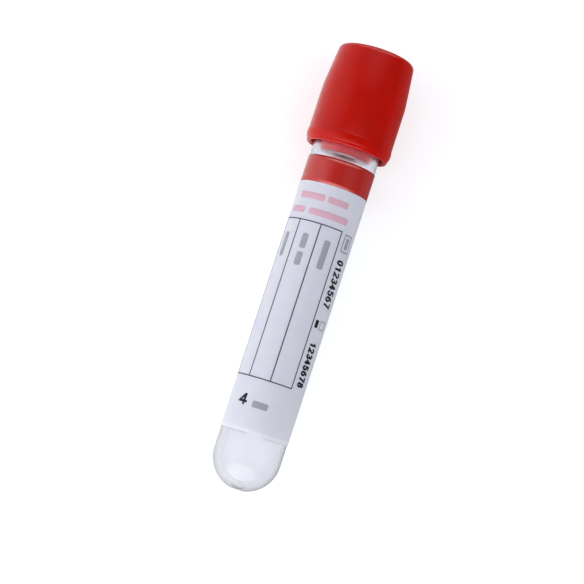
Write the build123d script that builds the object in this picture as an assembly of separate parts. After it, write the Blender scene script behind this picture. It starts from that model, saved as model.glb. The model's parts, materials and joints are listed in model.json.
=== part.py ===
"""Evacuated blood collection tube, 13 x 75 mm, with its safety closure and wrap label.

The pieces are drawn about the tube's own axis, with z counted in millimetres from the round
end and x towards the middle of the label. They are then laid down together as the tube
comes to rest on a bench: on its round end and on the bead of its cap, label up, the cap
towards +Y. The origin is the middle of the floor that the tube covers.

tube         clear PET, moulded in one, with a drafted bore and a gate mark in the round end
stopper      butyl rubber: drilled plug, seat flange, neck groove and dished head
safety_cap   moulded cap: beaded skirt with grip ribs inside, locking ring, needle well
label        thin film wrapped round the tube, with a clear strip left open at the back
"""

import os
from math import acos, asin, atan2, cos, degrees, hypot, radians, sin, tan

from build123d import *

# Tube
tube_length = 75.0
tube_od = 13.0
tube_wall = 1.0
tube_floor = 1.5
bore_draft = 0.12
lip_round = 0.3
gate_recess_r = 1.2
gate_recess_z = 0.32
gate_nub_r = 0.45
gate_nub_z = 0.14

# Stopper
plug_depth = 8.7
plug_running_gap = 0.06
plug_end_taper = 0.64
plug_lead_length = 2.4
land_length = 1.6
waist_depth = 0.22
waist_slope_length = 0.3
relief_r = 2.3
relief_depth = 5.2
relief_cone_height = 1.1
flange_thickness = 2.0
flange_gap = 0.2
head_height = 3.0
head_gap = 0.1
dimple_r = 2.6
dimple_depth = 0.7
rubber_round = 0.35

# Safety cap
cap_height = 19.9
skirt_overlap = 7.5
skirt_gap = 0.67
skirt_wall = 1.1
skirt_chamfer = 0.35
rim_inset = 0.27
rim_height = 0.4
rim_round = 0.28
bead_proud = 0.11
bead_round = 3.0
shoulder_height = 11.4
shoulder_round = 12.0
top_inset = 0.87
top_round = 1.1
crown_wall = 1.7
ring_thickness = 1.3
ring_width = 1.4
ring_gap = 0.05
ledge_width = 0.4
ledge_gap = 0.2
well_round = 0.25
rib_count = 8
rib_width = 0.9
rib_gap = 0.1
rib_start = 1.3
rib_lead = 0.45
rib_end_gap = 0.3

# Label
label_start = 10.7
label_rim_gap = 2.7
label_thickness = 0.1
label_glue = 0.02
window_width = 4.0

# Radii and heights that follow from the sizes above
tube_r = tube_od / 2
mouth_r = tube_r - tube_wall
plug_r = mouth_r - plug_running_gap
plug_end_z = tube_length - plug_depth
ring_z = tube_length + flange_thickness
head_z = ring_z + ring_thickness
skirt_inner_r = tube_r + skirt_gap
body_r = skirt_inner_r + skirt_wall
rim_r = body_r - rim_inset
rim_z = tube_length - skirt_overlap
cap_top_z = rim_z + cap_height
head_top_z = head_z + head_height
top_r = body_r - top_inset
well_r = top_r - crown_wall
seat_r = well_r - ledge_width
ring_r = seat_r - ring_width
cut_margin = 1.0

# The bead is one arc, from the top of the rim out to its widest ring and back to the body
bead_centre_r = body_r + bead_proud - bead_round
bead_low_angle = acos((rim_r - bead_centre_r) / bead_round)
bead_high_angle = acos((body_r - bead_centre_r) / bead_round)
bead_z = rim_z + rim_height + bead_round * sin(bead_low_angle)


def ring_edges(piece, z, r):
    """The circular edges of a turned piece that lie at height z with radius r."""
    return piece.edges().filter_by(
        lambda edge: edge.geom_type == GeomType.CIRCLE
        and abs(edge.radius - r) < 1e-3
        and abs(edge.center(CenterOf.GEOMETRY).Z - z) < 1e-3
    )


def turned(outline):
    """The solid turned about the z axis from a closed half section."""
    with BuildPart() as piece:
        with BuildSketch(Plane.XZ):
            add(outline)
            make_face()
        revolve(axis=Axis.Z)
    return piece.part


def make_tube():
    """Round-ended tube: half section turned, lip rounded, gate mark sunk in the round end."""
    bore_length = tube_length - tube_floor - mouth_r
    bore_end_r = mouth_r - bore_length * tan(radians(bore_draft))
    bore_end_z = tube_floor + bore_end_r
    with BuildLine() as outline:
        CenterArc((0, tube_r), tube_r, -90, 90)
        Line((tube_r, tube_r), (tube_r, tube_length))
        Line((tube_r, tube_length), (mouth_r, tube_length))
        Line((mouth_r, tube_length), (bore_end_r, bore_end_z))
        CenterArc((0, bore_end_z), bore_end_r, 0, -90)
        Line((0, tube_floor), (0, 0))
    tube = turned(outline.line)
    for lip_r in (tube_r, mouth_r):
        tube = fillet(ring_edges(tube, tube_length, lip_r), lip_round)
    recess = Pos(0, 0, gate_recess_z) * Cylinder(
        gate_recess_r, 2 * cut_margin, align=(Align.CENTER, Align.CENTER, Align.MAX)
    )
    nub = Pos(0, 0, gate_nub_z) * Cylinder(
        gate_nub_r, tube_floor / 2, align=(Align.CENTER, Align.CENTER, Align.MIN)
    )
    return tube - recess + nub


def make_stopper():
    """Rubber stopper: plug with two sealing lands, flange on the tube's lip, neck, head."""
    end_r = plug_r - plug_end_taper
    waist_r = plug_r - waist_depth
    waist_low_z = plug_end_z + plug_lead_length + land_length
    waist_high_z = tube_length - land_length
    neck_r = ring_r - ring_gap
    head_r = seat_r - head_gap
    flange_r = skirt_inner_r - flange_gap
    relief_top_z = plug_end_z + relief_depth
    outline = Polyline(
        (0, plug_end_z),
        (end_r, plug_end_z),
        (plug_r, plug_end_z + plug_lead_length),
        (plug_r, waist_low_z),
        (waist_r, waist_low_z + waist_slope_length),
        (waist_r, waist_high_z - waist_slope_length),
        (plug_r, waist_high_z),
        (plug_r, tube_length),
        (flange_r, tube_length),
        (flange_r, ring_z),
        (neck_r, ring_z),
        (neck_r, head_z),
        (head_r, head_z),
        (head_r, head_top_z),
        (0, head_top_z),
        close=True,
    )
    body = turned(outline)
    for z, r in ((plug_end_z, end_r), (head_top_z, head_r)):
        body = fillet(ring_edges(body, z, r), rubber_round)
    relief = turned(
        Polyline(
            (0, plug_end_z - cut_margin),
            (relief_r, plug_end_z - cut_margin),
            (relief_r, relief_top_z - relief_cone_height),
            (0, relief_top_z),
            close=True,
        )
    )
    bowl_r = (dimple_r**2 + dimple_depth**2) / (2 * dimple_depth)
    dimple = Pos(0, 0, head_top_z + bowl_r - dimple_depth) * Sphere(bowl_r)
    return body - relief - dimple


def make_cap_shell():
    """The cap without its ribs: beaded skirt, tapered crown, ledged well, locking ring."""
    mouth_edge = (skirt_inner_r + skirt_chamfer, rim_z)
    rim_top = (rim_r, rim_z + rim_height)
    bead_top = (body_r, bead_z + bead_round * sin(bead_high_angle))
    ledge_z = head_top_z + ledge_gap
    ledge_edge = (well_r, ledge_z + ledge_width)
    with BuildLine() as outline:
        FilletPolyline(mouth_edge, (rim_r, rim_z), rim_top, radius=rim_round)
        CenterArc(
            (bead_centre_r, bead_z),
            bead_round,
            -degrees(bead_low_angle),
            degrees(bead_low_angle + bead_high_angle),
        )
        FilletPolyline(
            bead_top,
            (body_r, rim_z + shoulder_height),
            (top_r, cap_top_z),
            (well_r, cap_top_z),
            ledge_edge,
            radius=(shoulder_round, top_round, well_round),
        )
        Polyline(
            ledge_edge,
            (seat_r, ledge_z),
            (seat_r, head_z),
            (ring_r, head_z),
            (ring_r, ring_z),
            (skirt_inner_r, ring_z),
            (skirt_inner_r, rim_z + skirt_chamfer),
            mouth_edge,
        )
    return turned(outline.line)


def make_grip_rib():
    """One rib on the +x side of the skirt, its inner face clear of the tube by rib_gap."""
    inner_r = tube_r + rib_gap
    root_r = skirt_inner_r + skirt_wall / 2
    low_z = rim_z + rib_start
    high_z = tube_length - rib_end_gap
    side = make_face(
        Plane.XZ
        * Polyline(
            (inner_r + rib_lead, low_z),
            (root_r, low_z),
            (root_r, high_z),
            (inner_r, high_z),
            (inner_r, low_z + rib_lead),
            close=True,
        )
    )
    return extrude(side, rib_width / 2, both=True)


def make_safety_cap():
    """The shell with its ribs spaced evenly round the inside of the skirt."""
    rib = make_grip_rib()
    return make_cap_shell() + [place * rib for place in PolarLocations(0, rib_count)]


def make_label():
    """Film sleeve centred on +x, its two ends apart by the width of the clear strip."""
    inner_r = tube_r + label_glue
    label_top = rim_z - label_rim_gap
    wrap = 360 - degrees(window_width / inner_r)
    strip = make_face(
        Plane.XZ
        * Polyline(
            (inner_r, label_start),
            (inner_r + label_thickness, label_start),
            (inner_r + label_thickness, label_top),
            (inner_r, label_top),
            close=True,
        )
    )
    return Rot(0, 0, -wrap / 2) * revolve(strip, axis=Axis.Z, revolution_arc=wrap)


def resting_place():
    """Where the tube's own axes lie once the round end and the bead both touch the floor.

    The floor is tangent to the sphere of the round end and to the arc of the bead, so the
    slope follows from their centres and radii.
    """
    reach = bead_z - tube_r
    slope = atan2(bead_centre_r, reach) - asin((tube_r - bead_round) / hypot(bead_centre_r, reach))
    return Location(
        Plane(
            origin=(0, 0, tube_r * (1 - sin(slope))),
            x_dir=(0, -sin(slope), cos(slope)),
            z_dir=(0, cos(slope), sin(slope)),
        )
    )


def main():
    """Make each piece, lay them down as one, centre them over the origin and write them."""
    pieces = {
        "tube": make_tube(),
        "stopper": make_stopper(),
        "safety_cap": make_safety_cap(),
        "label": make_label(),
    }
    laid = {name: resting_place() * piece for name, piece in pieces.items()}
    boxes = [piece.bounding_box() for piece in laid.values()]
    middle_y = (min(box.min.Y for box in boxes) + max(box.max.Y for box in boxes)) / 2
    os.makedirs("parts", exist_ok=True)
    for name, piece in laid.items():
        placed = Pos(0, -middle_y, 0) * piece
        placed.label = name
        export_step(placed, f"parts/{name}.step")


main()
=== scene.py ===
"""Looks of a 13 x 75 mm blood collection tube, laid on a pale bench with its label up.

Four pieces follow the CAD frame: the clear tube, its rubber stopper, the safety cap that
covers both, and the label wrapped round the tube. The label's print is ink film of its own.
Lengths are millimetres along the tube's own axes until a point is placed, then metres.
"""

import json
import logging
import math
from dataclasses import dataclass, field
from enum import Enum
from typing import Any, Sequence

import bpy
import numpy as np
from mathutils import Matrix, Vector

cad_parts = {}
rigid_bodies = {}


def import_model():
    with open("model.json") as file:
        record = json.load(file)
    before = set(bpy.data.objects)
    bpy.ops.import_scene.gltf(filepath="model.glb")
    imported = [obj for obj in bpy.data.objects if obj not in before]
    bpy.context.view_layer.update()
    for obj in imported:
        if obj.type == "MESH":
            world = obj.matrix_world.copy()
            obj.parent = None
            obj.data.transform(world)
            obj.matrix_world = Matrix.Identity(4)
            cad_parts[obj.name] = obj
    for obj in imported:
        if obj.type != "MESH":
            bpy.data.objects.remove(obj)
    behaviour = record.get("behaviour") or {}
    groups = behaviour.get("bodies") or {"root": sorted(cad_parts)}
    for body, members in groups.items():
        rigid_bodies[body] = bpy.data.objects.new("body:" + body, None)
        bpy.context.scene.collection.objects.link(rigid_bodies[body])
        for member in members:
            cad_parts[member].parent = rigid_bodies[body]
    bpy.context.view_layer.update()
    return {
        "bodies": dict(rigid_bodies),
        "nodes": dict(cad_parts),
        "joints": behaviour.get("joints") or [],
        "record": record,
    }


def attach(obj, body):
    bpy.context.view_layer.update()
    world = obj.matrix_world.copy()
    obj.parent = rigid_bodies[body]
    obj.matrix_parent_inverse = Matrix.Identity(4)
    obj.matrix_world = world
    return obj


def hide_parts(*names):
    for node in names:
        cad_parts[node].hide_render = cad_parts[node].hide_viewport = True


log = logging.getLogger("blood_tube")

Pair = tuple[float, float]
Triple = tuple[float, float, float]
Flat = tuple[np.ndarray, np.ndarray]
Node = bpy.types.Node
Socket = bpy.types.NodeSocket
Tree = bpy.types.NodeTree

MM = 0.001
WHITE = "#FFFFFF"

# A mount on the tube's axis, and its height from the round end in millimetres.
AXIS_MOUNT = "needle_well"
AXIS_MOUNT_HEIGHT = 84.6

# How finely surfaces are drawn: points round a turned piece, degrees between points of an
# arc, the angle above which an edge stays sharp, and millimetres between points of the film
# and of the print.
TURN_SEGMENTS = 192
ARC_STEP_DEG = 5.0
CREASE_DEG = 28.0
FILM_STEP = 0.23
PRINT_STEP = 0.2
BAR_COLUMNS_LEAST = 9
BAR_ROWS_LEAST = 3

# A line of print: how far its square ends reach out, as a share of its width, and how many
# times its half width a mitred corner may stand out.
END_REACH = 0.4
MITRE_MOST = 2.0

# The part of a noise's range over which a finish goes from one look to the other.
PATCH_SPAN = (0.3, 0.7)


# ---------- frame and meshes


@dataclass(frozen=True)
class TubeFrame:
    """The tube's own axes, as they lie in the row frame.

    Attributes:
        tip: middle of the round end, in metres.
        axis: unit vector from the round end to the cap.
        front: unit vector from the axis to the middle of the label.
        side: unit vector to the right of the label, seen with the cap up.
    """

    tip: np.ndarray
    axis: np.ndarray
    front: np.ndarray
    side: np.ndarray

    @classmethod
    def from_record(cls, frame: dict[str, Any]) -> "TubeFrame":
        """Reads the axes from the pull-off joint and from a mount on the axis.


        Returns:
            The tube's axes.
        """
        axis = np.array(frame["joints"][0]["axis"], float)
        axis /= np.linalg.norm(axis)
        side = np.array((1.0, 0.0, 0.0))
        mount = next(m for m in frame["record"]["mounts"] if m["name"] == AXIS_MOUNT)
        tip = np.array(mount["pos_m"], float) - axis * AXIS_MOUNT_HEIGHT * MM
        return cls(tip, axis, np.cross(side, axis), side)

    def turn_to(self, azimuth: np.ndarray) -> np.ndarray:
        """Unit vectors away from the axis, at azimuths in radians from the label's middle."""
        return np.cos(azimuth)[..., None] * self.front + np.sin(azimuth)[..., None] * self.side

    def place(
        self, radius: np.ndarray | float, azimuth: np.ndarray | float, height: np.ndarray | float
    ) -> np.ndarray:
        """Points in metres: out from the axis by radius, up the axis by height.

        Args:
            radius: distance from the axis, in millimetres.
            azimuth: radians from the middle of the label towards its right.
            height: distance from the round end along the axis, in millimetres.

        Returns:
            An array of the arguments' common shape with a last axis of three.
        """
        radius, azimuth, height = np.broadcast_arrays(radius, azimuth, height)
        out = radius[..., None] * self.turn_to(azimuth) + height[..., None] * self.axis
        return self.tip + MM * out

    def direction(self, forward: float, right: float, up: float) -> np.ndarray:
        """A vector in the row frame from its parts along front, side and axis."""
        return forward * self.front + right * self.side + up * self.axis


def arc(centre: Sequence[float], radii: Sequence[float], start: float, end: float) -> np.ndarray:
    """Points along an ellipse's arc: centre + (a cos t, b sin t) for t from start to end.

    Args:
        centre: middle of the ellipse.
        radii: its two half axes.
        start: first angle, in degrees.
        end: last angle, in degrees.

    Returns:
        Points in rows, both ends included.
    """
    steps = max(2, math.ceil(abs(end - start) / ARC_STEP_DEG) + 1)
    t = np.radians(np.linspace(start, end, steps))
    return np.stack([centre[0] + radii[0] * np.cos(t), centre[1] + radii[1] * np.sin(t)], axis=1)


def rounded(*corners: Sequence[float]) -> np.ndarray:
    """A polyline whose inner corners are replaced by arcs tangent to both runs.

    With an angle w between the two runs, the arc of radius r starts r / tan(w/2) before the
    corner, and its centre lies on the bisector, r / sin(w/2) away.

    Args:
        *corners: x and y of each corner; the inner ones also have a radius above 0.

    Returns:
        Points in rows, both ends included.
    """
    spots = np.array([corner[:2] for corner in corners], float)
    made = [spots[:1]]
    for before, corner, after, turn in zip(spots, spots[1:], spots[2:], corners[1:]):
        radius = turn[2]
        back = (before - corner) / np.linalg.norm(before - corner)
        on = (after - corner) / np.linalg.norm(after - corner)
        opening = math.acos(float(np.clip(back @ on, -1, 1)))
        reach = radius / math.tan(opening / 2)
        bisector = (back + on) / np.linalg.norm(back + on)
        centre = corner + bisector * radius / math.sin(opening / 2)
        first, last = corner + back * reach - centre, corner + on * reach - centre
        swept = math.pi - opening
        steps = max(2, math.ceil(math.degrees(swept) / ARC_STEP_DEG) + 1)
        share = np.linspace(0, 1, steps)[:, None]
        blend = np.sin((1 - share) * swept) * first + np.sin(share * swept) * last
        made.append(centre + blend / math.sin(swept))
    return np.concatenate([*made, spots[-1:]])


def strip_quads(rows: int, columns: int, loop_rows: bool, loop_columns: bool) -> np.ndarray:
    """Corner numbers of the quads of a grid whose points are counted row by row.

    Args:
        rows: number of rows of points.
        columns: number of points in a row.
        loop_rows: whether the last row joins the first.
        loop_columns: whether each row closes on itself.

    Returns:
        An array of four columns.
    """
    i = np.arange(rows if loop_rows else rows - 1)[:, None]
    j = np.arange(columns if loop_columns else columns - 1)[None, :]
    i2, j2 = (i + 1) % rows, (j + 1) % columns
    corners = (i * columns + j, i * columns + j2, i2 * columns + j2, i2 * columns + j)
    return np.stack(np.broadcast_arrays(*corners), axis=-1).reshape(-1, 4)


def link(name: str, data: bpy.types.ID) -> bpy.types.Object:
    """Makes an object and links it to the scene.

    Args:
        name: name of the object.
        data: the mesh, lamp or camera that it shows.

    Returns:
        The object, at the origin.
    """
    made = bpy.data.objects.new(name, data)
    bpy.context.scene.collection.objects.link(made)
    return made


@dataclass
class Shell:
    """Points and faces of one surface, before it becomes a mesh."""

    points: np.ndarray
    faces: list[np.ndarray]

    def outward(self) -> "Shell":
        """Turns every face round if the enclosed volume comes out negative.

        The volume is the sum over the faces' triangles (a, b, c) of a . (b x c), from the
        points' mean.

        Returns:
            This shell.
        """
        volume = 0.0
        middle = self.points.mean(axis=0)
        for faces in self.faces:
            for k in range(1, faces.shape[1] - 1):
                a, b, c = (self.points[faces[:, n]] - middle for n in (0, k, k + 1))
                volume += float(np.einsum("ij,ij->", a, np.cross(b, c)))
        if volume < 0:
            self.faces = [faces[:, ::-1] for faces in self.faces]
        return self

    def away_from_axis(self, frame: TubeFrame) -> "Shell":
        """Turns each group of faces round if its first face looks towards the tube's axis.

        Args:
            frame: the tube's axes.

        Returns:
            This shell.
        """
        made = []
        for faces in self.faces:
            a, b, c = (self.points[faces[0, n]] for n in range(3))
            out = a - frame.tip
            out = out - (out @ frame.axis) * frame.axis
            made.append(faces if np.cross(b - a, c - a) @ out > 0 else faces[:, ::-1])
        self.faces = made
        return self

    @staticmethod
    def joined(shells: Sequence["Shell"]) -> "Shell":
        """Puts shells together, each still closed by itself.

        Args:
            shells: the shells.

        Returns:
            One shell that holds them all.
        """
        faces, start = [], 0
        for shell in shells:
            faces += [part + start for part in shell.faces]
            start += len(shell.points)
        return Shell(np.concatenate([shell.points for shell in shells]), faces)

    def make(self, name: str, finish: bpy.types.Material) -> bpy.types.Object:
        """Puts the shell into a mesh object at the origin, smooth up to the crease angle.

        Args:
            name: name of the piece.
            finish: its material.

        Returns:
            The new object, linked to the scene.
        """
        mesh = bpy.data.meshes.new(name)
        faces = [face for part in self.faces for face in part.tolist()]
        mesh.from_pydata(self.points.tolist(), [], faces)
        mesh.polygons.foreach_set("use_smooth", np.ones(len(faces), bool))
        mesh.set_sharp_from_angle(angle=math.radians(CREASE_DEG))
        mesh.materials.append(finish)
        mesh.validate()
        mesh.update()
        return link(name, mesh)


def turned(frame: TubeFrame, outline: np.ndarray, loop: bool) -> Shell:
    """The surface swept when a half section turns once round the tube's axis.

    Point (i, j) is outline point i at azimuth 2 pi j / segments. An open outline starts and
    ends on the axis, where each end is one point that a fan of triangles closes.

    Args:
        frame: the tube's axes.
        outline: rows of (radius, height).
        loop: whether the outline closes on itself, away from the axis.

    Returns:
        The closed surface, facing out.
    """
    azimuth = np.arange(TURN_SEGMENTS) * 2 * math.pi / TURN_SEGMENTS
    rings = outline if loop else outline[1:-1]
    grid = frame.place(rings[:, :1], azimuth[None, :], rings[:, 1:])
    points = grid.reshape(-1, 3)
    faces = [strip_quads(len(rings), TURN_SEGMENTS, loop, True)]
    if not loop:
        ends = frame.place(np.zeros(2), np.zeros(2), outline[[0, -1], 1])
        first, last = len(points), len(points) + 1
        j = np.arange(TURN_SEGMENTS)
        k = (j + 1) % TURN_SEGMENTS
        top = (len(rings) - 1) * TURN_SEGMENTS
        faces.append(np.stack([np.full_like(j, first), k, j], axis=1))
        faces.append(np.stack([np.full_like(j, last), top + j, top + k], axis=1))
        points = np.concatenate([points, ends])
    return Shell(points, faces).outward()


# ---------- materials


def linear(colour: str) -> tuple[float, float, float, float]:
    """Turns an sRGB hex colour into the linear values that a shader socket takes.

    A channel c becomes c / 12.92 below 0.04045, and ((c + 0.055) / 1.055) ^ 2.4 above.

    Args:
        colour: six hex digits after a hash sign.

    Returns:
        Red, green, blue and an alpha of 1.
    """
    parts = np.array([int(colour[k : k + 2], 16) for k in (1, 3, 5)]) / 255
    value = np.where(parts <= 0.04045, parts / 12.92, ((parts + 0.055) / 1.055) ** 2.4)
    return (*value.tolist(), 1.0)


def add_node(tree: Tree, kind: str, inputs: dict[Any, Any] | None = None, **settings: Any) -> Node:
    """Adds one node with its settings, and fills or links its inputs.

    Args:
        tree: the node tree.
        kind: the node's Blender type name.
        inputs: values or output sockets, by input name or number.
        **settings: properties of the node.

    Returns:
        The node.
    """
    made = tree.nodes.new(kind)
    for name, value in settings.items():
        setattr(made, name, value)
    for name, value in (inputs or {}).items():
        if isinstance(value, Socket):
            tree.links.new(value, made.inputs[name])
        else:
            made.inputs[name].default_value = value
    return made


def empty_tree(owner: bpy.types.ID) -> Tree:
    """Turns the nodes of a material or a world on, and clears them.

    Args:
        owner: the material or the world.

    Returns:
        Its node tree.
    """
    owner.use_nodes = True
    owner.node_tree.nodes.clear()
    return owner.node_tree


def soft_patches(tree: Tree, width: float) -> Socket:
    """Soft patches that lie still on a piece, on its Object coordinates.

    Args:
        tree: the material's tree.
        width: about how wide a patch is, in millimetres.

    Returns:
        The socket of their level, about 0 to 1.
    """
    where = add_node(tree, "ShaderNodeTexCoord").outputs["Object"]
    inputs = {"Vector": where, "Scale": 1 / (width * MM), "Detail": 2.0, "Roughness": 0.5}
    return add_node(tree, "ShaderNodeTexNoise", inputs).outputs["Fac"]


def slope(tree: Tree, way: np.ndarray, span: Pair, levels: Pair) -> Socket:
    """A level that follows how far a place, or a ray in a world, lies along a direction.

    That distance is the place dotted with the direction's unit vector. The level goes over
    from the first to the second in a smooth step between the span's two ends.

    Args:
        tree: the material's or the world's tree.
        way: the direction, in the row frame.
        span: the two distances; for a ray, the cosines of its angle to the direction.
        levels: the level before the first of them, and after the second.

    Returns:
        The level's socket.
    """
    where = add_node(tree, "ShaderNodeTexCoord").outputs["Object"]
    unit = tuple((way / np.linalg.norm(way)).tolist())
    along = add_node(tree, "ShaderNodeVectorMath", {0: where, 1: unit}, operation="DOT_PRODUCT")
    inputs = {"Value": along.outputs["Value"], "From Min": span[0], "From Max": span[1]}
    inputs |= {"To Min": levels[0], "To Max": levels[1]}
    step = add_node(tree, "ShaderNodeMapRange", inputs, interpolation_type="SMOOTHSTEP")
    return step.outputs["Result"]


@dataclass(frozen=True)
class Bump:
    """Unevenness of a surface: patch width and height of the swing, in millimetres."""

    width: float
    height: float


def uneven(tree: Tree, bumps: Sequence[Bump]) -> Socket:
    """A surface normal that carries each bump in turn.

    Args:
        tree: the material's tree.
        bumps: the bumps, coarsest first.

    Returns:
        The normal's socket.
    """
    normal = None
    for bump in bumps:
        inputs = {"Height": soft_patches(tree, bump.width), "Distance": bump.height * MM}
        if normal is not None:
            inputs["Normal"] = normal
        normal = add_node(tree, "ShaderNodeBump", inputs | {"Strength": 1.0}).outputs["Normal"]
    return normal


@dataclass(frozen=True)
class Finish:
    """An opaque finish: two close colours in patches, a roughness band and its unevenness.

    Attributes:
        name: name of the material.
        colour: main sRGB colour.
        shade: second sRGB colour, which shows in patches.
        patch: width of those patches, in millimetres.
        roughness: lowest and highest roughness, which swing with the patches.
        bumps: unevenness, coarsest first.
        ior: index of refraction.
        specular: the shader's specular level.
        subsurface: share of light that goes under the surface.
        depth: how deep it goes in red, green and blue, in millimetres.
    """

    name: str
    colour: str
    shade: str
    patch: float
    roughness: Pair = (0.45, 0.55)
    bumps: tuple[Bump, ...] = ()
    ior: float = 1.5
    specular: float = 0.5
    subsurface: float = 0.0
    depth: Triple = (1.0, 0.3, 0.2)

    def material(self) -> bpy.types.Material:
        """Builds the finish as a material.

        Returns:
            The new material.
        """
        made = bpy.data.materials.new(self.name)
        tree = empty_tree(made)
        low, high = PATCH_SPAN
        held = {"Value": soft_patches(tree, self.patch), "From Min": low, "From Max": high}
        share, roughness = (
            add_node(tree, "ShaderNodeMapRange", held | {"To Min": least, "To Max": most})
            for least, most in ((0.0, 1.0), self.roughness)
        )
        colours = {0: share.outputs["Result"], 6: linear(self.colour), 7: linear(self.shade)}
        inputs = {
            "Base Color": add_node(tree, "ShaderNodeMix", colours, data_type="RGBA").outputs[2],
            "Roughness": roughness.outputs["Result"],
            "IOR": self.ior,
            "Specular IOR Level": self.specular,
        }
        if self.subsurface:
            inputs |= {
                "Subsurface Weight": self.subsurface,
                "Subsurface Radius": tuple(d * MM for d in self.depth),
                "Subsurface Scale": 1.0,
            }
        if self.bumps:
            inputs["Normal"] = uneven(tree, self.bumps)
        shader = add_node(tree, "ShaderNodeBsdfPrincipled", inputs)
        add_node(tree, "ShaderNodeOutputMaterial", {"Surface": shader.outputs["BSDF"]})
        return made


@dataclass(frozen=True)
class ClearFinish:
    """A clear moulded plastic that lets lamps through with its own tint.

    Attributes:
        name: name of the material.
        tint: sRGB colour that one wall surface leaves of the light, seen square on.
        edge_tint: the same where the wall is seen edge on, through more plastic.
        shadow_tint: sRGB colour that one surface leaves of a lamp's light.
        ior: index of refraction.
        roughness: roughness of the moulded skin.
        bumps: unevenness, coarsest first.
        edge_power: how late the edge's tint sets in; higher keeps it to the rim.
    """

    name: str
    tint: str
    edge_tint: str
    shadow_tint: str
    ior: float
    roughness: float
    bumps: tuple[Bump, ...]
    edge_power: float = 1.5

    def material(self) -> bpy.types.Material:
        """Builds the finish as a material that a lamp's rays pass straight, with a tint.

        Returns:
            The new material.
        """
        made = bpy.data.materials.new(self.name)
        tree = empty_tree(made)
        edge = add_node(tree, "ShaderNodeLayerWeight", {"Blend": 0.5}).outputs["Facing"]
        powers = {0: edge, 1: self.edge_power}
        steep = add_node(tree, "ShaderNodeMath", powers, operation="POWER").outputs[0]
        colours = {0: steep, 6: linear(self.tint), 7: linear(self.edge_tint)}
        inputs = {
            "Base Color": add_node(tree, "ShaderNodeMix", colours, data_type="RGBA").outputs[2],
            "Roughness": self.roughness,
            "IOR": self.ior,
            "Transmission Weight": 1.0,
            "Normal": uneven(tree, self.bumps),
        }
        clear = add_node(tree, "ShaderNodeBsdfPrincipled", inputs).outputs["BSDF"]
        colour = {"Color": linear(self.shadow_tint)}
        passing = add_node(tree, "ShaderNodeBsdfTransparent", colour).outputs["BSDF"]
        shadow = add_node(tree, "ShaderNodeLightPath").outputs["Is Shadow Ray"]
        both = add_node(tree, "ShaderNodeMixShader", {0: shadow, 1: clear, 2: passing})
        add_node(tree, "ShaderNodeOutputMaterial", {"Surface": both.outputs["Shader"]})
        return made


# Clear PET, injection moulded: near colourless, with a cold cast where the wall is seen edge
# on and the light goes through more of it. The dried coating inside makes it a little milky,
# so what lies behind it is soft. Cooling leaves slow ripples, which bend the highlights.
CLEAR_PET = ClearFinish(
    "clear_pet_moulded",
    tint="#F6F7FD",
    edge_tint="#DFE3F4",
    shadow_tint="#FDFDFE",
    ior=1.575,
    roughness=0.19,
    bumps=(Bump(5.0, 0.012),),
)

# Red butyl rubber, compression moulded with the fine grain of the mould, then oiled with
# silicone so that it slides into the tube, which leaves a soft shine on a bright red. That red
# is pushed near its top, brighter than the rubber itself, so that the plug still reads bright
# where the cap's skirt shades it: partly the rubber's colour, partly painted light.
RED_RUBBER = Finish(
    "red_butyl_rubber_moulded", "#FA2E37", "#F22A33",
    patch=1.6, roughness=(0.12, 0.18), bumps=(Bump(0.35, 0.003),), ior=1.52,
)

# Red polyethylene, injection moulded: soft gloss over a saturated body, faint flow patches,
# and walls that sank a little as they cooled, so long highlights waver.
RED_POLYETHYLENE = Finish(
    "red_polyethylene_moulded", "#C81002", "#C00D02",
    patch=3.2, roughness=(0.2, 0.26), bumps=(Bump(4.0, 0.02),), ior=1.51,
    specular=0.28, subsurface=0.8, depth=(2.0, 0.15, 0.1),
)

# White polypropylene film, cast and coated: a thin milky body that lets light through to
# the tube, under a semi-matt topcoat. The eye gets a cold white, faintly cloudy.
LABEL_FILM = Finish(
    "white_film_label_coated", "#EFF0FC", "#ECEDFA",
    patch=2.4, roughness=(0.4, 0.48), bumps=(Bump(3.0, 0.01), Bump(0.3, 0.001)),
    subsurface=1.0, depth=(0.3, 0.3, 0.2),
)

# Red flood print by flexo plate under a gloss varnish: a flat red, deeper than the cap's,
# with a pale sheen along the side that faces the light.
RED_INK = Finish(
    "red_flexo_ink", "#C0201A", "#B81C16",
    patch=1.8, roughness=(0.2, 0.26), bumps=(Bump(3.0, 0.01),), specular=0.85,
)

# Line print: thin near-black ink that lets a little of the white film through.
DARK_INK = Finish("dark_line_ink", "#3A3A4C", "#45465A", patch=0.4)

# The same print in a screen of fine dots, for the bars: a mid grey with soft patches.
GREY_INK = Finish("grey_line_ink", "#9C9EAC", "#A4A6B3", patch=0.5)

# Jet print, added later than the rest: solid black.
BLACK_INK = Finish(
    "black_jet_ink", "#16161F", "#1E1E29", patch=0.3, roughness=(0.4, 0.5), specular=0.3
)

# Small type in a tint of red, a screen of fine dots that reads as a dusty pink.
PINK_INK = Finish("pink_screen_ink", "#E0B2C3", "#D8A8BB", patch=0.5)


# ---------- moulded pieces


def settle(
    shell: Shell,
    name: str,
    finish: Finish | ClearFinish,
    body: str,
    slot: str,
    *nodes: str,
    wall: float = 0.0,
) -> None:
    """Makes a piece of a shell, and says where it belongs.

    Args:
        shell: its surface.
        name: name of the piece.
        finish: its finish.
        body: the body that it rides on.
        slot: the CAD slot that its finish stands for; not used.
        *nodes: the CAD nodes that it replaces.
        wall: for an open sheet, the thickness grown inwards from it, in millimetres.
    """
    piece = shell.make(name, finish.material())
    if wall:
        grown = piece.modifiers.new("wall", "SOLIDIFY")
        grown.thickness = wall * MM
        grown.offset = -1.0
        grown.use_rim = True
    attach(piece, body)
    if nodes:
        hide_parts(*nodes)
    log.info("%s rides on %s, %d faces", name, body, len(piece.data.polygons))


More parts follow.
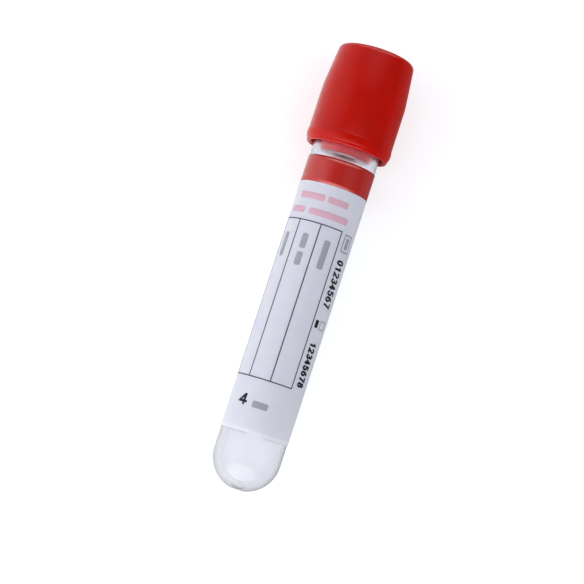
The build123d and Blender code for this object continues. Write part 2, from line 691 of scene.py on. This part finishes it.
@dataclass
class ClearTube:
    """Round-ended tube with a drafted bore, a rounded lip and a gate mark in its end."""

    frame: TubeFrame
    length: float = 75.0
    radius: float = 6.5
    wall: float = 1.0
    floor: float = 1.5
    draft_deg: float = 0.12
    lip_round: float = 0.3
    gate_radius: float = 1.2
    gate_height: float = 0.32
    nub_radius: float = 0.45
    nub_height: float = 0.14
    gate_round: float = 0.06

    def outline(self) -> np.ndarray:
        """Half section from the outer pole over the lip to the pole of the bore.

        The ends are circles about the axis: radius r sin t out and r (1 - cos t) up.

        Returns:
            Rows of (radius, height) in millimetres.
        """
        mouth = self.radius - self.wall
        draft = math.tan(math.radians(self.draft_deg))
        bore_end = mouth - (self.length - self.floor - mouth) * draft
        start = math.degrees(math.asin(self.gate_radius / self.radius))
        dome = arc((0, self.radius), (self.radius, self.radius), start - 90, 0)
        nub, gate_edge = self.nub_radius, self.gate_round
        gate = rounded(
            (0, self.nub_height),
            (nub, self.nub_height, gate_edge),
            (nub, self.gate_height, gate_edge),
            (self.gate_radius, self.gate_height, gate_edge),
            dome[0],
        )
        lip = rounded(
            dome[-1],
            (self.radius, self.length, self.lip_round),
            (mouth, self.length, self.lip_round),
            (bore_end, self.floor + bore_end),
        )
        end = arc((0, self.floor + bore_end), (bore_end, bore_end), 0, -90)
        return np.concatenate([gate[:-1], dome, lip[1:-1], end])

    def build(self) -> None:
        """Turns the tube, and says which CAD node and body it stands for."""
        shell = turned(self.frame, self.outline(), loop=False)
        settle(shell, "tube_clear", CLEAR_PET, "barrel", "clear_pet", "tube")


@dataclass
class RubberStopper:
    """Plug with two sealing lands, flange on the tube's lip, neck and dished head."""

    frame: TubeFrame
    plug_end: float = 66.3
    lip: float = 75.0
    plug_radius: float = 5.44
    end_radius: float = 4.8
    lead: float = 2.4
    land: float = 1.6
    waist_radius: float = 5.22
    waist_slope: float = 0.3
    relief_radius: float = 2.3
    relief_depth: float = 5.2
    relief_cone: float = 1.1
    flange_radius: float = 6.97
    flange_top: float = 77.0
    neck_radius: float = 3.85
    head_bottom: float = 78.3
    head_radius: float = 5.2
    head_top: float = 81.3
    dimple_radius: float = 2.6
    dimple_depth: float = 0.7
    edge_round: float = 0.35
    lead_round: float = 0.3
    bend_round: float = 0.1
    seat_round: float = 0.05

    def outline(self) -> np.ndarray:
        """Half section from the axis in the relief, round the plug and head, to the dimple.

        The dimple is a circle's arc through the rim of the dish and its middle.

        Returns:
            Rows of (radius, height) in millimetres.
        """
        low = self.plug_end + self.lead + self.land
        high = self.lip - self.land
        bowl = (self.dimple_radius**2 + self.dimple_depth**2) / (2 * self.dimple_depth)
        swing = math.degrees(math.asin(self.dimple_radius / bowl))
        bend, seat, edge = self.bend_round, self.seat_round, self.edge_round
        body = rounded(
            (0, self.plug_end + self.relief_depth),
            (self.relief_radius, self.plug_end + self.relief_depth - self.relief_cone, bend),
            (self.relief_radius, self.plug_end, bend),
            (self.end_radius, self.plug_end, edge),
            (self.plug_radius, self.plug_end + self.lead, self.lead_round),
            (self.plug_radius, low, bend),
            (self.waist_radius, low + self.waist_slope, bend),
            (self.waist_radius, high - self.waist_slope, bend),
            (self.plug_radius, high, bend),
            (self.plug_radius, self.lip, seat),
            (self.flange_radius, self.lip, seat),
            (self.flange_radius, self.flange_top, bend),
            (self.neck_radius, self.flange_top, seat),
            (self.neck_radius, self.head_bottom, seat),
            (self.head_radius, self.head_bottom, bend),
            (self.head_radius, self.head_top, edge),
            (self.dimple_radius, self.head_top),
        )
        dish_middle = (0, self.head_top + bowl - self.dimple_depth)
        dish = arc(dish_middle, (bowl, bowl), swing - 90, -90)
        return np.concatenate([body[:-1], dish])

    def build(self) -> None:
        """Turns the stopper, and says which CAD node and body it stands for."""
        shell = turned(self.frame, self.outline(), loop=False)
        settle(shell, "stopper_rubber", RED_RUBBER, "closure", "red_rubber", "stopper")


@dataclass
class SafetyCap:
    """Moulded cap: rim and bead, tapered crown, needle well, locking ring, grip ribs."""

    frame: TubeFrame
    bottom: float = 67.5
    top: float = 87.4
    skirt_radius: float = 7.17
    mouth_radius: float = 7.52
    rim_radius: float = 8.0
    rim_height: float = 0.4
    rim_round: float = 0.28
    bead_centre: float = 5.38
    bead_round: float = 3.0
    body_radius: float = 8.27
    shoulder: float = 78.9
    shoulder_round: float = 12.0
    top_radius: float = 7.4
    top_round: float = 1.1
    well_radius: float = 5.7
    well_round: float = 0.25
    ledge_top: float = 81.9
    seat_radius: float = 5.3
    ledge_bottom: float = 81.5
    ring_radius: float = 3.9
    ring_top: float = 78.3
    ring_bottom: float = 77.0
    inner_round: float = 0.12
    rib_count: int = 8
    rib_width: float = 0.9
    rib_inner: float = 6.6
    rib_root: float = 7.5
    rib_bottom: float = 68.8
    rib_top: float = 74.7
    rib_lead: float = 0.45

    def outline(self) -> np.ndarray:
        """Half section of the shell, from the mouth edge round the outside and back inside.

        The bead is an arc of radius r about a point at bead_centre from the axis. A surface at
        radius R meets it at the angle acos((R - bead_centre) / r), below or above that point.

        Returns:
            Rows of (radius, height) in millimetres.
        """
        low = math.acos((self.rim_radius - self.bead_centre) / self.bead_round)
        high = math.acos((self.body_radius - self.bead_centre) / self.bead_round)
        middle = self.bottom + self.rim_height + self.bead_round * math.sin(low)
        rim = rounded(
            (self.mouth_radius, self.bottom),
            (self.rim_radius, self.bottom, self.rim_round),
            (self.rim_radius, self.bottom + self.rim_height),
        )
        bead = arc(
            (self.bead_centre, middle),
            (self.bead_round, self.bead_round),
            -math.degrees(low),
            math.degrees(high),
        )
        crown = rounded(
            bead[-1],
            (self.body_radius, self.shoulder, self.shoulder_round),
            (self.top_radius, self.top, self.top_round),
            (self.well_radius, self.top, self.well_round),
            (self.well_radius, self.ledge_top),
        )
        bend = self.inner_round
        inside = rounded(
            (self.well_radius, self.ledge_top),
            (self.seat_radius, self.ledge_bottom, bend),
            (self.seat_radius, self.ring_top, bend),
            (self.ring_radius, self.ring_top, bend),
            (self.ring_radius, self.ring_bottom, bend),
            (self.skirt_radius, self.ring_bottom, bend),
            (self.skirt_radius, self.bottom + self.mouth_radius - self.skirt_radius, bend),
            (self.mouth_radius, self.bottom),
        )
        return np.concatenate([rim[:-1], bead[:-1], crown[:-1], inside[:-1]])

    def ribs(self) -> list[Shell]:
        """The grip ribs, each a prism between two five-sided side views.

        A point of a side view at radius r lies at r along the rib's own direction, and half
        the rib's width across it on either side.

        Returns:
            One closed shell for each rib.
        """
        low, high, lead = self.rib_bottom, self.rib_top, self.rib_lead
        side = np.array(
            [
                (self.rib_inner + lead, low),
                (self.rib_root, low),
                (self.rib_root, high),
                (self.rib_inner, high),
                (self.rib_inner, low + lead),
            ]
        )
        count = len(side)
        ends = np.stack([np.arange(count)[::-1], np.arange(count) + count])
        faces = [strip_quads(2, count, False, True), ends]
        made = []
        for azimuth in np.arange(self.rib_count) * 2 * math.pi / self.rib_count:
            out, across = self.frame.turn_to(np.array([azimuth, azimuth + math.pi / 2]))
            middle = side[:, :1] * out + side[:, 1:] * self.frame.axis
            half = self.rib_width / 2 * across
            points = self.frame.tip + MM * np.concatenate([middle - half, middle + half])
            made.append(Shell(points, faces).outward())
        return made

    def build(self) -> None:
        """Turns the shell, adds the ribs, and says which CAD node and body it stands for."""
        shell = Shell.joined([turned(self.frame, self.outline(), loop=True), *self.ribs()])
        slot = "red_polyethylene"
        settle(shell, "safety_cap_moulded", RED_POLYETHYLENE, "closure", slot, "safety_cap")


# ---------- label and print


class Ink(Enum):
    """The inks of the label's line print, each by the name that its piece carries."""

    DARK = "dark"
    GREY = "grey"
    BLACK = "black"
    PINK = "pink"


INKS = {Ink.DARK: DARK_INK, Ink.GREY: GREY_INK, Ink.BLACK: BLACK_INK, Ink.PINK: PINK_INK}


class Reading(Enum):
    """Which way a line of print runs on the label."""

    ACROSS = 0
    DOWN = 1


@dataclass(frozen=True)
class Spot:
    """A place on the label: degrees from its middle, and millimetres from the round end."""

    azimuth: float
    height: float
    reading: Reading = Reading.DOWN


def numeral_strokes() -> dict[str, list[np.ndarray]]:
    """The plain numerals as centre lines, in a box one unit high and centred across.

    Each is made of straight runs and of arcs of ellipses, and a is half its breadth.

    Returns:
        The strokes of each numeral, by the numeral.
    """
    a = 0.27
    return {
        "0": [arc((0, 0.5), (a, 0.5), 90, 450)],
        "1": [np.array([(-0.16, 0.76), (0.07, 1.0), (0.07, 0.0)])],
        "2": [np.concatenate([arc((0, 0.72), (a, 0.28), 165, -35), [(-a, 0.0), (a, 0.0)]])],
        "3": [
            np.concatenate(
                [arc((0, 0.75), (0.9 * a, 0.25), 150, -80), arc((0, 0.26), (a, 0.26), 80, -150)]
            )
        ],
        "4": [
            np.array([(a, 0.27), (-a, 0.27), (0.06, 0.97)]),
            np.array([(0.1, 0.97), (0.1, 0.0)]),
        ],
        "5": [
            np.concatenate(
                [[(0.8 * a, 1.0), (-0.7 * a, 1.0)], arc((0, 0.32), (a, 0.32), 135, -150)]
            )
        ],
        "6": [arc((0, 0.31), (a, 0.31), 90, 450), arc((a, 0.31), (2 * a, 0.69), 180, 105)],
        "7": [np.array([(-a, 1.0), (a, 1.0), (-0.08, 0.0)])],
        "8": [arc((0, 0.76), (0.8 * a, 0.24), 90, 450), arc((0, 0.26), (a, 0.26), 90, 450)],
    }


def dense(line: np.ndarray, step: float) -> np.ndarray:
    """Adds points on a polyline's runs, spaced evenly on each.

    Args:
        line: its points.
        step: the longest that a run may be.

    Returns:
        The points, the first ones among them.
    """
    made = [line[:1]]
    for before, after in zip(line, line[1:]):
        count = max(1, math.ceil(float(np.linalg.norm(after - before)) / step))
        share = (np.arange(count) + 1)[:, None] / count
        made.append(before + share * (after - before))
    return np.concatenate(made)


def ribbon(line: np.ndarray, width: float) -> Flat:
    """A flat band along a polyline, mitred at its corners.

    Each point is moved to both sides along the mean of the normals of its two runs, by half
    the width over the cosine of half the turn, up to MITRE_MOST halves. The ends reach out by
    END_REACH of the width unless the line closes on itself.

    Args:
        line: points of the centre line.
        width: width of the band.

    Returns:
        The points, left side first, and the quads.
    """
    loop = bool(np.allclose(line[0], line[-1]))
    points = dense(line, PRINT_STEP)
    points = points[:-1] if loop else points
    if not loop:
        for end, inner in ((0, 1), (-1, -2)):
            way = points[end] - points[inner]
            points[end] += way / np.linalg.norm(way) * width * END_REACH
    runs = np.roll(points, -1, axis=0) - points
    if not loop:
        runs[-1] = runs[-2]
    runs /= np.linalg.norm(runs, axis=1)[:, None]
    before = np.roll(runs, 1, axis=0)
    if not loop:
        before[0] = runs[0]
    normal = np.stack([-(runs + before)[:, 1], (runs + before)[:, 0]], axis=1)
    normal /= np.linalg.norm(normal, axis=1)[:, None]
    plain = np.stack([-runs[:, 1], runs[:, 0]], axis=1)
    stretch = 1 / np.clip(np.sum(normal * plain, axis=1), 1 / MITRE_MOST, 1)
    offset = normal * (stretch * width / 2)[:, None]
    grid = np.stack([points + offset, points - offset], axis=1).reshape(-1, 2)
    return grid, strip_quads(len(points), 2, loop, False)


@dataclass(frozen=True)
class Bar:
    """A plain bar that stands for a word."""

    ink: Ink
    width: float
    at: Spot
    height: float = 1.2
    corner: float = 0.35

    def shapes(self) -> list[Flat]:
        """The bar about its middle, with round corners.

        Across its width the half height is full, less corner - sqrt(corner^2 - d^2) where the
        point is d inside the last corner's width.

        Returns:
            One flat shape.
        """
        columns = max(BAR_COLUMNS_LEAST, math.ceil(self.width / PRINT_STEP) + 1)
        rows = max(BAR_ROWS_LEAST, math.ceil(self.height / PRINT_STEP) + 1)
        x = np.cos(np.linspace(np.pi, 0, columns)) * self.width / 2
        inside = np.clip(np.abs(x) - (self.width / 2 - self.corner), 0, self.corner)
        cut = self.corner - np.sqrt(np.clip(self.corner**2 - inside**2, 0, None))
        y = (self.height / 2 - cut)[:, None] * np.linspace(-1, 1, rows)[None, :]
        grid = np.stack(np.broadcast_arrays(x[:, None], y), axis=-1).reshape(-1, 2)
        return [(grid, strip_quads(columns, rows, False, False))]


@dataclass(frozen=True)
class Box:
    """An empty box, drawn by a line of some width."""

    ink: Ink
    width: float
    at: Spot
    height: float
    line: float

    def shapes(self) -> list[Flat]:
        """The outline about the box's middle, as one closed band.

        Returns:
            One flat shape.
        """
        x, y = self.width / 2, self.height / 2
        corners = np.array([(0, -y), (x, -y), (x, y), (-x, y), (-x, -y), (0, -y)])
        return [ribbon(corners, self.line)]


@dataclass(frozen=True)
class Number:
    """A run of plain numerals.

    Attributes:
        ink: their ink.
        text: the numerals.
        at: place of the run's middle.
        height: height of the centre lines, in millimetres.
        pitch: from one numeral's middle to the next, in millimetres.
        line: width of the strokes, in millimetres.
        breadth: how broad they are for their height, against the plain face.
        slant: how far they lean for each millimetre of height.
    """

    ink: Ink
    text: str
    at: Spot
    height: float
    pitch: float
    line: float
    breadth: float
    slant: float = 0.0

    def shapes(self) -> list[Flat]:
        """A band for each stroke of each numeral.

        A point of a numeral is scaled by the height and the breadth, leant by the slant
        times the height above the middle, and moved along by the pitch times its place.

        Returns:
            One flat shape for each stroke.
        """
        made, strokes = [], numeral_strokes()
        for place, numeral in enumerate(self.text):
            middle = (place - (len(self.text) - 1) / 2) * self.pitch
            for stroke in strokes[numeral]:
                v = (stroke[:, 1] - 0.5) * self.height
                u = stroke[:, 0] * self.height * self.breadth + v * self.slant + middle
                made.append(ribbon(np.stack([u, v], axis=1), self.line))
        return made


@dataclass
class WrapLabel:
    """Film label with a red band, a ruled table, bars for its words and plain numerals.

    Words are plain bars as long as a word, because nothing on the part names anything.
    Places on it are Spots; u runs to the right round the tube, v towards the cap.
    """

    frame: TubeFrame
    radius: float = 6.62
    thickness: float = 0.1
    bottom: float = 10.7
    top: float = 64.8
    strip_width: float = 4.0
    ink_lift: float = 0.012
    ink_thickness: float = 0.02
    band_bottom: float = 59.56
    table_bottom: float = 21.0
    table_top: float = 52.0
    table_lines: tuple[float, ...] = (36.2, -2.3, -40.9, -79.5)
    line_width: float = 0.22
    marks: tuple[Bar | Box | Number, ...] = (
        Bar(Ink.PINK, 5.6, Spot(-33.5, 56.8, Reading.ACROSS)),
        Bar(Ink.PINK, 4.2, Spot(14.2, 56.8, Reading.ACROSS)),
        Bar(Ink.PINK, 3.5, Spot(-53.5, 53.9, Reading.ACROSS)),
        Bar(Ink.PINK, 8.1, Spot(5.3, 53.9, Reading.ACROSS)),
        Bar(Ink.GREY, 5.6, Spot(16.6, 46.6)),
        Bar(Ink.GREY, 2.9, Spot(-21.5, 48.1)),
        Bar(Ink.GREY, 2.6, Spot(-21.5, 44.6)),
        Bar(Ink.GREY, 4.8, Spot(-60.6, 46.8)),
        Box(Ink.GREY, 3.2, Spot(55.4, 50.15), 2.2, 0.26),
        Bar(Ink.GREY, 2.2, Spot(55.4, 50.15), 1.0, 0.2),
        Bar(Ink.BLACK, 1.5, Spot(45.2, 34.05), 0.82, 0.08),
        Box(Ink.GREY, 1.6, Spot(61.3, 34.05), 1.7, 0.18),
        Bar(Ink.GREY, 3.05, Spot(-5.8, 16.1, Reading.ACROSS), 1.25, 0.3),
        Number(Ink.BLACK, "01234567", Spot(55.4, 42.2), 1.76, 1.2, 0.4, 0.72),
        Number(Ink.BLACK, "12345678", Spot(53.6, 26.15), 1.55, 1.126, 0.42, 0.76),
        Number(Ink.BLACK, "4", Spot(-37.0, 16.6, Reading.ACROSS), 1.85, 1.6, 0.46, 1.45, 0.08),
    )
    prints: dict[Ink, list[Shell]] = field(default_factory=dict)

    def wrap(self, flat: np.ndarray, spot: Spot) -> np.ndarray:
        """Wraps flat print round the tube: u / R is added to the azimuth, v to the height.

        Print that reads down is first turned by a quarter, (u, v) to (v, -u).

        Args:
            flat: rows of (u, v) in millimetres, from the middle of the shape.
            spot: where that middle goes, and which way the print reads.

        Returns:
            Rows of points in metres.
        """
        u, v = flat[..., 0], flat[..., 1]
        if spot.reading is Reading.DOWN:
            u, v = v, -u
        azimuth = math.radians(spot.azimuth) + u / self.radius
        return self.frame.place(self.radius + self.ink_lift, azimuth, spot.height + v)

    def stamp(self, ink: Ink, flat: Flat, spot: Spot) -> None:
        """Adds one flat shape to the print of an ink, facing away from the tube.

        Args:
            ink: its ink.
            flat: its points and quads.
            spot: where its middle goes.
        """
        points, faces = flat
        shape = Shell(self.wrap(points, spot), [faces]).away_from_axis(self.frame)
        self.prints.setdefault(ink, []).append(shape)

    def sheet(self, low: float, high: float, turn: float, radius: float) -> Shell:
        """An open part of the sleeve, drawn evenly round and up.

        Args:
            low: its lower edge, in millimetres from the round end.
            high: its upper edge.
            turn: how far it goes to each side of the label's middle, in radians.
            radius: its distance from the tube's axis, in millimetres.

        Returns:
            The sheet, facing away from the tube.
        """
        columns = math.ceil(2 * turn * self.radius / FILM_STEP) + 1
        rows = max(2, math.ceil(high - low) + 1)
        azimuth = np.linspace(-turn, turn, columns)[:, None]
        height = np.linspace(low, high, rows)[None, :]
        points = self.frame.place(radius, azimuth, height).reshape(-1, 3)
        quads = strip_quads(columns, rows, False, False)
        return Shell(points, [quads]).away_from_axis(self.frame)

    def film(self) -> None:
        """The white film and the red band printed round its upper end."""
        turn = math.pi - self.strip_width / 2 / (self.radius - self.thickness)
        film = self.sheet(self.bottom, self.top, turn, self.radius)
        band = self.sheet(self.band_bottom, self.top, turn, self.radius + self.ink_lift)
        body, slot = "barrel", "label_film"
        settle(film, "label_film_sleeve", LABEL_FILM, body, slot, "label", wall=self.thickness)
        settle(band, "label_red_band", RED_INK, body, slot, wall=self.ink_thickness)

    def table(self) -> None:
        """Three columns ruled between a top and a bottom line."""
        middle = (self.table_bottom + self.table_top) / 2
        half = (self.table_top - self.table_bottom) / 2
        upright = ribbon(np.array([(0, -half), (0, half)]), self.line_width)
        for azimuth in self.table_lines:
            self.stamp(Ink.DARK, upright, Spot(azimuth, middle, Reading.ACROSS))
        first, last = math.radians(self.table_lines[-1]), math.radians(self.table_lines[0])
        reach, across = (last - first) / 2 * self.radius, math.degrees((first + last) / 2)
        level = ribbon(np.array([(-reach, 0), (reach, 0)]), self.line_width)
        for height in (self.table_bottom, self.table_top):
            self.stamp(Ink.DARK, level, Spot(across, height, Reading.ACROSS))

    def build(self) -> None:
        """Makes the film, and each ink's print as one piece."""
        self.film()
        self.table()
        for mark in self.marks:
            for shape in mark.shapes():
                self.stamp(mark.ink, shape, mark.at)
        for ink, shells in self.prints.items():
            name, wall = f"label_print_{ink.value}", self.ink_thickness
            settle(Shell.joined(shells), name, INKS[ink], "barrel", "label_film", wall=wall)


# ---------- stage


@dataclass(frozen=True)
class Lamp:
    """A white soft box that lights surfaces, and that gloss and clear plastic don't see.

    Attributes:
        name: name of the lamp.
        towards: where it stands from the object, along front, side and axis.
        distance: how far off, in metres.
        size: its width and height, in metres.
        power: its power, in watts.
    """

    name: str
    towards: Triple
    distance: float
    size: Pair
    power: float

    def build(self, frame: TubeFrame, target: np.ndarray) -> None:
        """Stands the lamp in the tube's own directions, and turns it to the target.

        Args:
            frame: the tube's axes.
            target: what it lights, in metres.
        """
        way = frame.direction(*self.towards)
        way /= np.linalg.norm(way)
        data = bpy.data.lights.new(self.name, "AREA")
        data.shape = "RECTANGLE"
        data.size, data.size_y = self.size
        data.energy = self.power
        data.color = linear(WHITE)[:3]
        lamp = link(self.name, data)
        lamp.location = Vector(target + way * self.distance)
        lamp.rotation_euler = Vector(way).to_track_quat("Z", "Y").to_euler()
        lamp.visible_glossy = False
        lamp.visible_transmission = False


@dataclass(frozen=True)
class Studio:
    """Pale bench, plain soft light and a room that only gloss can see.

    Attributes:
        frame: the tube's axes.
        bench_size: side of the bench top, in metres.
        bench_colour: its sRGB colour.
        bench_glow: what it adds for rays from the eye.
        bench_through: how bright it is through clear plastic.
        bench_gloss: how bright gloss sees it, on the right and on the left of the tube.
        bench_sides: how far left of the axis each of them is reached, in millimetres.
        fill: strength of the even fill.
        fill_colour: its sRGB colour.
        window: direction of the room's bright side, along front, side and axis.
        room: strength of the dark and of the bright side.
        room_span: cosines to the window's direction at which the two are reached.
        end_windows: directions of the two windows past the tube's ends.
        end_span: cosines to those directions between which a window fades in.
        end_level: strength of those windows.
        aim: height up the tube that the lamps are turned to, in millimetres.
        lamps: the soft boxes.
    """

    frame: TubeFrame
    bench_size: float = 3.0
    bench_colour: str = "#E6E7EA"
    bench_glow: float = 0.5
    bench_through: float = 1.0
    bench_gloss: Pair = (0.2, 1.0)
    bench_sides: Pair = (-5.0, 12.0)
    fill: float = 0.55
    fill_colour: str = "#F8FAFF"
    window: Triple = (0.0, -0.9, -0.45)
    room: Pair = (0.05, 1.0)
    room_span: Pair = (0.1, 0.85)
    end_windows: tuple[Triple, ...] = ((0.3, 0.0, -0.95), (0.3, 0.0, 0.95))
    end_span: Pair = (0.6, 0.9)
    end_level: float = 2.6
    aim: float = 45.0
    lamps: tuple[Lamp, ...] = (
        Lamp("soft_box_left", (0.36, -0.9, -0.3), 0.45, (0.4, 0.5), 1.34),
        Lamp("soft_box_right", (0.75, 0.65, 0.1), 0.5, (0.3, 0.3), 0.5),
        Lamp("soft_box_end", (0.17, 0.0, -0.98), 0.5, (0.3, 0.12), 0.6),
    )

    def build(self) -> None:
        """Lays the bench, hangs the lamps and sets the world."""
        self.bench()
        self.world()
        target = self.frame.place(0.0, 0.0, self.aim)
        for lamp in self.lamps:
            lamp.build(self.frame, target)

    def bench(self) -> None:
        """A matt bench top, white to the eye and through clear plastic, graded to gloss."""
        half = self.bench_size / 2
        corners = [(-half, -half, 0), (half, -half, 0), (half, half, 0), (-half, half, 0)]
        mesh = bpy.data.meshes.new("bench_top")
        mesh.from_pydata(corners, [], [(0, 1, 2, 3)])
        made = bpy.data.materials.new("pale_laminate_bench")
        tree = empty_tree(made)
        white = linear(WHITE)
        path = add_node(tree, "ShaderNodeLightPath").outputs
        inputs = {"Color": linear(self.bench_colour), "Roughness": 0.5}
        matt = add_node(tree, "ShaderNodeBsdfDiffuse", inputs).outputs["BSDF"]
        inputs = {0: path["Is Camera Ray"], 1: self.bench_glow}
        to_eye = add_node(tree, "ShaderNodeMath", inputs, operation="MULTIPLY").outputs[0]
        glow = add_node(tree, "ShaderNodeEmission", {"Color": white, "Strength": to_eye})
        plain = add_node(tree, "ShaderNodeAddShader", {0: matt, 1: glow.outputs["Emission"]})
        left = self.frame.direction(0.0, -1.0, 0.0)
        sides = (self.bench_sides[0] * MM, self.bench_sides[1] * MM)
        graded = slope(tree, left, sides, self.bench_gloss)
        inputs = {0: path["Transmission Depth"], 1: 0.5}
        through = add_node(tree, "ShaderNodeMath", inputs, operation="GREATER_THAN").outputs[0]
        inputs = {0: through, 2: graded, 3: self.bench_through}
        level = add_node(tree, "ShaderNodeMix", inputs, data_type="FLOAT").outputs[0]
        card = add_node(tree, "ShaderNodeEmission", {"Color": white, "Strength": level})
        inputs = {0: path["Is Glossy Ray"], 1: through}
        share = add_node(tree, "ShaderNodeMath", inputs, operation="MAXIMUM").outputs[0]
        inputs = {0: share, 1: plain.outputs["Shader"], 2: card.outputs["Emission"]}
        both = add_node(tree, "ShaderNodeMixShader", inputs)
        add_node(tree, "ShaderNodeOutputMaterial", {"Surface": both.outputs["Shader"]})
        mesh.materials.append(made)
        bench = link("bench_top", mesh)

    def world(self) -> None:
        """Even fill for the surfaces, white for the eye, and a graded room for gloss.

        The room is the sum of its bright side and of a window past each end of the tube,
        which draw the thin lines on the cap's rounded edges and the soft spot on the dome.
        """
        world = bpy.data.worlds.new("studio")
        bpy.context.scene.world = world
        tree = empty_tree(world)
        path = add_node(tree, "ShaderNodeLightPath").outputs
        room = slope(tree, self.frame.direction(*self.window), self.room_span, self.room)
        for way in self.end_windows:
            level = slope(tree, self.frame.direction(*way), self.end_span, (0.0, self.end_level))
            inputs = {0: room, 1: level}
            room = add_node(tree, "ShaderNodeMath", inputs, operation="ADD").outputs[0]
        fill, walls, blank = (
            add_node(tree, "ShaderNodeBackground", {"Color": linear(colour), "Strength": strength})
            for colour, strength in ((self.fill_colour, self.fill), (WHITE, room), (WHITE, 1.0))
        )
        inputs = {0: path["Is Glossy Ray"], 1: fill.outputs[0], 2: walls.outputs[0]}
        gloss = add_node(tree, "ShaderNodeMixShader", inputs).outputs["Shader"]
        inputs = {0: path["Is Camera Ray"], 1: path["Is Transmission Ray"]}
        to_eye = add_node(tree, "ShaderNodeMath", inputs, operation="MAXIMUM").outputs[0]
        both = add_node(tree, "ShaderNodeMixShader", {0: to_eye, 1: gloss, 2: blank.outputs[0]})
        add_node(tree, "ShaderNodeOutputWorld", {"Surface": both.outputs["Shader"]})


@dataclass(frozen=True)
class Viewpoint:
    """The camera: what it looks at, and how far round, leant and turned it is.

    Attributes:
        aim: point on the tube's middle plane, as right of and up the axis, in millimetres.
        distance: from that point to the lens, in millimetres.
        lean_deg: how far the camera sinks towards the round end.
        side_deg: how far it goes to the right of the label.
        roll_deg: how far the tube's axis leans clockwise in the view.
        lens: focal length, in millimetres.
        sensor: width of the sensor, in millimetres.
        clip: nearest and farthest that it sees, in metres.
    """

    aim: Pair = (-1.58, 38.81)
    distance: float = 374.65
    lean_deg: float = 5.84
    side_deg: float = 0.242
    roll_deg: float = 18.04
    lens: float = 121.62
    sensor: float = 36.0
    clip: Pair = (0.01, 10.0)

    def build(self, frame: TubeFrame) -> None:
        """Stands the camera by its angles, and makes it the scene's.

        Args:
            frame: the tube's axes.
        """
        lean, side = math.radians(self.lean_deg), math.radians(self.side_deg)
        back = frame.direction(
            math.cos(lean) * math.cos(side), math.cos(lean) * math.sin(side), -math.sin(lean)
        )
        target = frame.tip + MM * frame.direction(0.0, *self.aim)
        upright = frame.axis - (frame.axis @ back) * back
        upright /= np.linalg.norm(upright)
        right = np.cross(upright, back)
        roll = math.radians(self.roll_deg)
        up = math.cos(roll) * upright - math.sin(roll) * right
        right = np.cross(up, back)
        data = bpy.data.cameras.new("main_view")
        data.lens, data.sensor_width = self.lens, self.sensor
        data.clip_start, data.clip_end = self.clip
        camera = link("main_view", data)
        place = target + back * self.distance * MM
        rows = np.stack([right, up, back, place], axis=1)
        camera.matrix_world = Matrix([*rows.tolist(), (0.0, 0.0, 0.0, 1.0)])
        bpy.context.scene.camera = camera


def main() -> None:
    """Loads the frame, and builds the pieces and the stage."""
    logging.basicConfig(level=logging.INFO, format="%(name)s: %(message)s")
    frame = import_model()
    bpy.context.scene.view_settings.view_transform = "Standard"
    tube_frame = TubeFrame.from_record(frame)
    ClearTube(tube_frame).build()
    RubberStopper(tube_frame).build()
    SafetyCap(tube_frame).build()
    WrapLabel(tube_frame).build()
    Studio(tube_frame).build()
    Viewpoint().build(tube_frame)


if __name__ == "__main__":
    main()
